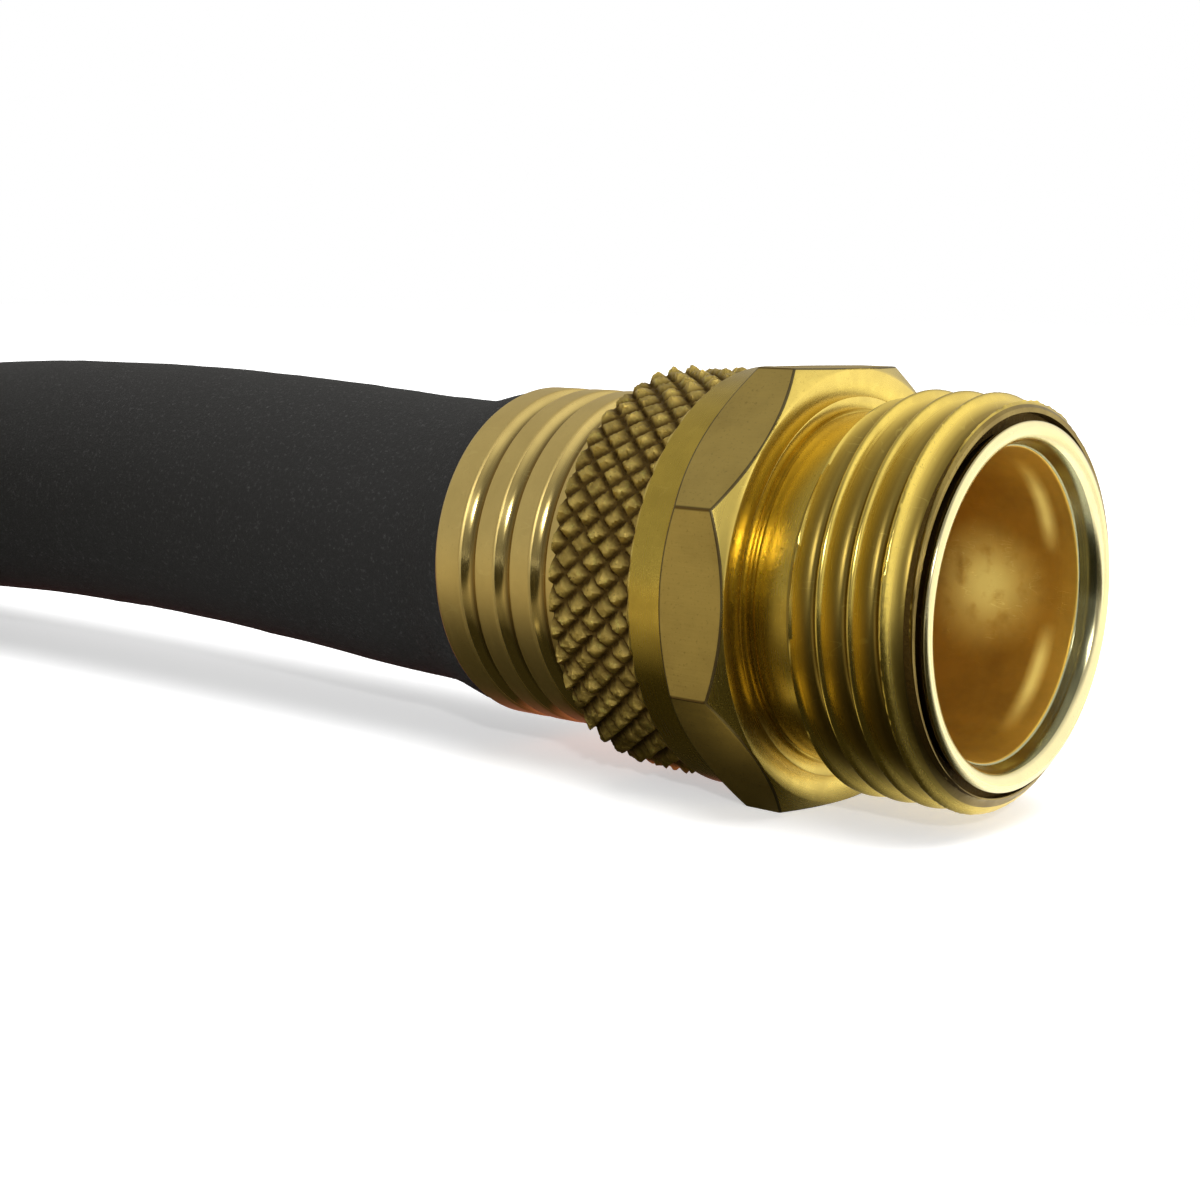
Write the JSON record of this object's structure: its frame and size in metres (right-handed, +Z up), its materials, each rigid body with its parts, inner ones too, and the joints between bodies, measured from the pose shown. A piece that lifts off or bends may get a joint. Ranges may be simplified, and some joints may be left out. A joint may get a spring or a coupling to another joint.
{
  "type": "soaker hose",
  "caption": "Round porous rubber watering hose put away in a tied coil, with a knurled brass male outlet coupling and a swivelling brass female inlet nut.",
  "frame": {"origin": "on the floor, under the middle of the outlet fitting (coupling, insert, ferrule and the hose end in it), which rests on one flat of its octagon", "axes": "+X along the outlet fitting's axis, out of its mouth; +Z up; the coil lies on the floor towards -X and -Y"},
  "size_m": [0.3809, 0.3933, 0.0472],
  "materials": {
    "machined_brass": "machined and knurled yellow brass, lightly tarnished",
    "drawn_brass": "thin drawn brass, polished and pale",
    "hose_rubber": "matte porous recycled rubber, charcoal black, fine speckle",
    "tie_webbing": "black woven strap",
    "washer_rubber": "smooth black rubber",
    "restrictor_plastic": "moulded red plastic"
  },
  "bodies": {
    "hose": {"outlet_coupling": "machined_brass", "outlet_insert": "drawn_brass", "outlet_ferrule": "drawn_brass", "hose_end_outlet": "hose_rubber", "hose_run": "hose_rubber", "hose_coil": "hose_rubber", "hose_tail": "hose_rubber", "hose_end_inlet": "hose_rubber", "coil_tie_1": "tie_webbing", "coil_tie_2": "tie_webbing", "coil_tie_3": "tie_webbing", "inlet_ferrule": "drawn_brass", "inlet_insert": "drawn_brass", "hose_washer": "washer_rubber", "flow_restrictor": "restrictor_plastic"},
    "swivel_nut": {"inlet_swivel_nut": "machined_brass"}
  },
  "joints": [
    {"name": "nut_swivel", "type": "hinge", "parent": "hose", "child": "swivel_nut", "pos_m": [0.016, -0.36295, 0.0159], "axis": [1, 0, 0], "continuous": true}
  ]
}
